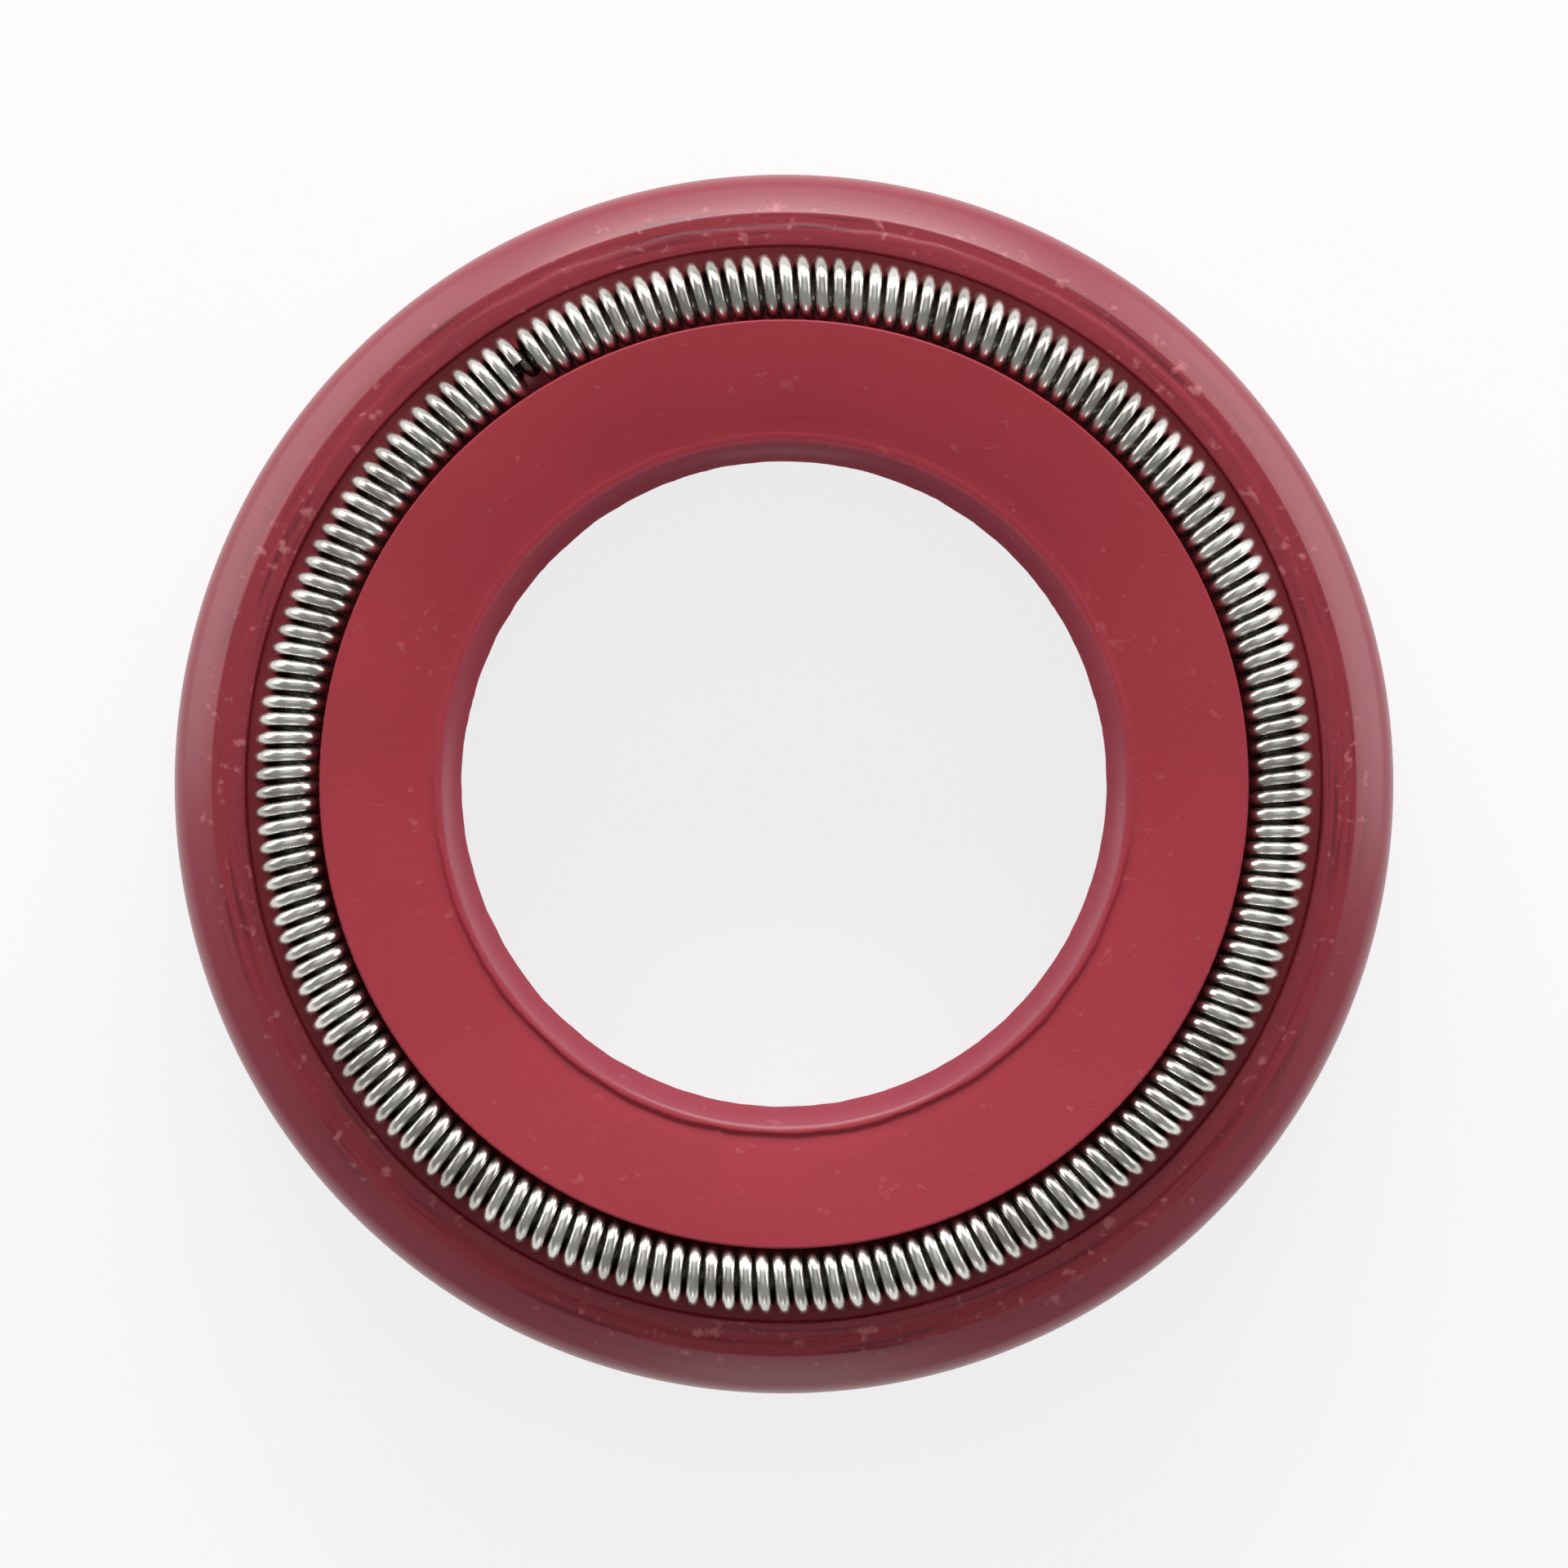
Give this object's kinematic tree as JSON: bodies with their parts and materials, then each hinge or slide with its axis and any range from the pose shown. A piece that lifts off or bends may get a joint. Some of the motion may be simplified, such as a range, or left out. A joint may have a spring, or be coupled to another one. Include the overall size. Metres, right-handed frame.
{
  "type": "valve stem seal",
  "caption": "Round moulded rubber lip seal for an engine valve stem, with a steel garter spring round its lip and a socket for the valve guide.",
  "frame": {"origin": "centre of the base that the seal stands on, under the garter spring's highest turns", "axes": "+Z along the valve stem, from the guide socket to the lip and spring; +X and +Y across the seal, with the spring's joint between -X and +Y"},
  "size_m": [0.022, 0.022, 0.0069],
  "materials": {
    "seal_rubber": "smooth satin moulded rubber, dark raspberry red",
    "spring_steel": "bright drawn wire"
  },
  "bodies": {
    "root": {"seal_body": "seal_rubber", "garter_spring": "spring_steel"}
  },
  "joints": []
}
